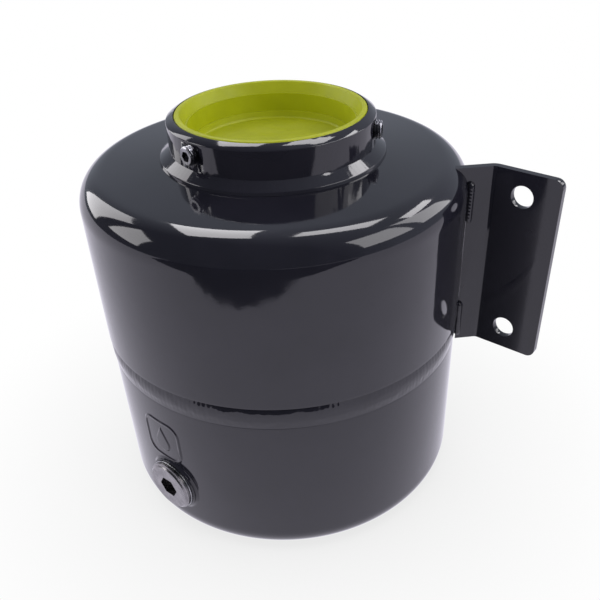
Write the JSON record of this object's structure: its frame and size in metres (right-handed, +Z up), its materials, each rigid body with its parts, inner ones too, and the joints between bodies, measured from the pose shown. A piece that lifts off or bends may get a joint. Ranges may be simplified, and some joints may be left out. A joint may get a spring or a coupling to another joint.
{
  "type": "expansion vessel",
  "caption": "Short cylindrical painted steel expansion vessel with a wide welded neck, dished closing cap, hexagon-socket drain plug and a bent side bracket.",
  "frame": {"origin": "on the vessel's axis, in the plane of its base ring", "axes": "+Z up along the vessel's axis; +Y is the outward normal of the bracket flange's back face; the drain plug faces -Y and the bracket lies on the +X side"},
  "size_m": [0.2567, 0.2242, 0.2368],
  "materials": {
    "shell_paint": "gloss anthracite powder coat",
    "weld_paint": "gloss anthracite powder coat over a weld",
    "bracket_paint": "gloss black powder coat",
    "plated_steel": "bright turned and plated",
    "plain_steel": "plain",
    "cap_plastic": "moulded lime polyethylene",
    "bladder_rubber": "matt moulded",
    "seal_metal": "soft flat ring",
    "seal_rubber": "matt",
    "valve_brass": "turned",
    "valve_cap_plastic": "fluted"
  },
  "bodies": {
    "root": {"upper_shell": "shell_paint", "lower_shell": "shell_paint", "neck_collar": "shell_paint", "drain_boss": "shell_paint", "gas_valve_boss": "shell_paint", "girth_weld": "weld_paint", "neck_weld": "weld_paint", "drain_boss_weld": "weld_paint", "bracket_welds": "weld_paint", "gas_valve_weld": "weld_paint", "wall_bracket": "bracket_paint", "bladder_retaining_ring": "plain_steel", "valve_core_spring": "plain_steel", "bladder": "bladder_rubber", "gas_valve_gasket": "seal_rubber", "gas_valve_stem": "valve_brass", "valve_core_barrel": "valve_brass"},
    "cap": {"closing_cap": "cap_plastic"},
    "screw_front": {"set_screw_front": "plated_steel"},
    "screw_right": {"set_screw_right": "plated_steel"},
    "screw_rear": {"set_screw_rear": "plated_steel"},
    "drain_seal": {"drain_seal_ring": "seal_metal"},
    "drain_plug": {"drain_plug": "plated_steel"},
    "valve_cap_seal": {"gas_valve_cap_seal": "seal_rubber"},
    "valve_cap": {"gas_valve_cap": "valve_cap_plastic"},
    "valve_pin": {"valve_core_pin": "valve_brass", "valve_core_seal": "seal_rubber"}
  },
  "joints": [
    {"name": "cap_lift", "type": "slide", "parent": "root", "child": "cap", "axis": [0, 0, 1], "range_m": [0, 0.06]},
    {"name": "front_screw_travel", "type": "slide", "parent": "root", "child": "screw_front", "axis": [-0.0698, -0.9976, 0], "range_m": [-0.003, 0.01]},
    {"name": "right_screw_travel", "type": "slide", "parent": "root", "child": "screw_right", "axis": [0.8988, 0.4384, 0], "range_m": [-0.003, 0.01]},
    {"name": "rear_screw_travel", "type": "slide", "parent": "root", "child": "screw_rear", "axis": [-0.829, 0.5592, 0], "range_m": [-0.003, 0.01]},
    {"name": "drain_seal_travel", "type": "slide", "parent": "root", "child": "drain_seal", "axis": [0, -1, 0], "range_m": [0, 0.013]},
    {"name": "drain_plug_turn", "type": "hinge", "parent": "drain_seal", "child": "drain_plug", "pos_m": [0, -0.1142, 0.0385], "axis": [0, -1, 0], "range_deg": [0, 2520]},
    {"name": "valve_cap_seal_travel", "type": "slide", "parent": "root", "child": "valve_cap_seal", "axis": [0, 0, -1], "range_m": [0, 0.0087]},
    {"name": "valve_cap_turn", "type": "hinge", "parent": "valve_cap_seal", "child": "valve_cap", "pos_m": [0, 0, 0.0016], "axis": [0, 0, -1], "range_deg": [0, 3960]},
    {"name": "valve_pin_press", "type": "slide", "parent": "root", "child": "valve_pin", "axis": [0, 0, 1], "range_m": [0, 0.0012], "stiffness_N_per_m": 1500, "deforming": ["valve_core_spring"]}
  ],
  "couplings": [
    {"joint": "drain_seal_travel", "follows": "drain_plug_turn", "m_per_rad": 0.00028871},
    {"joint": "valve_cap_turn", "follows": "valve_cap_seal_travel", "rad_per_m": 7913.3}
  ]
}
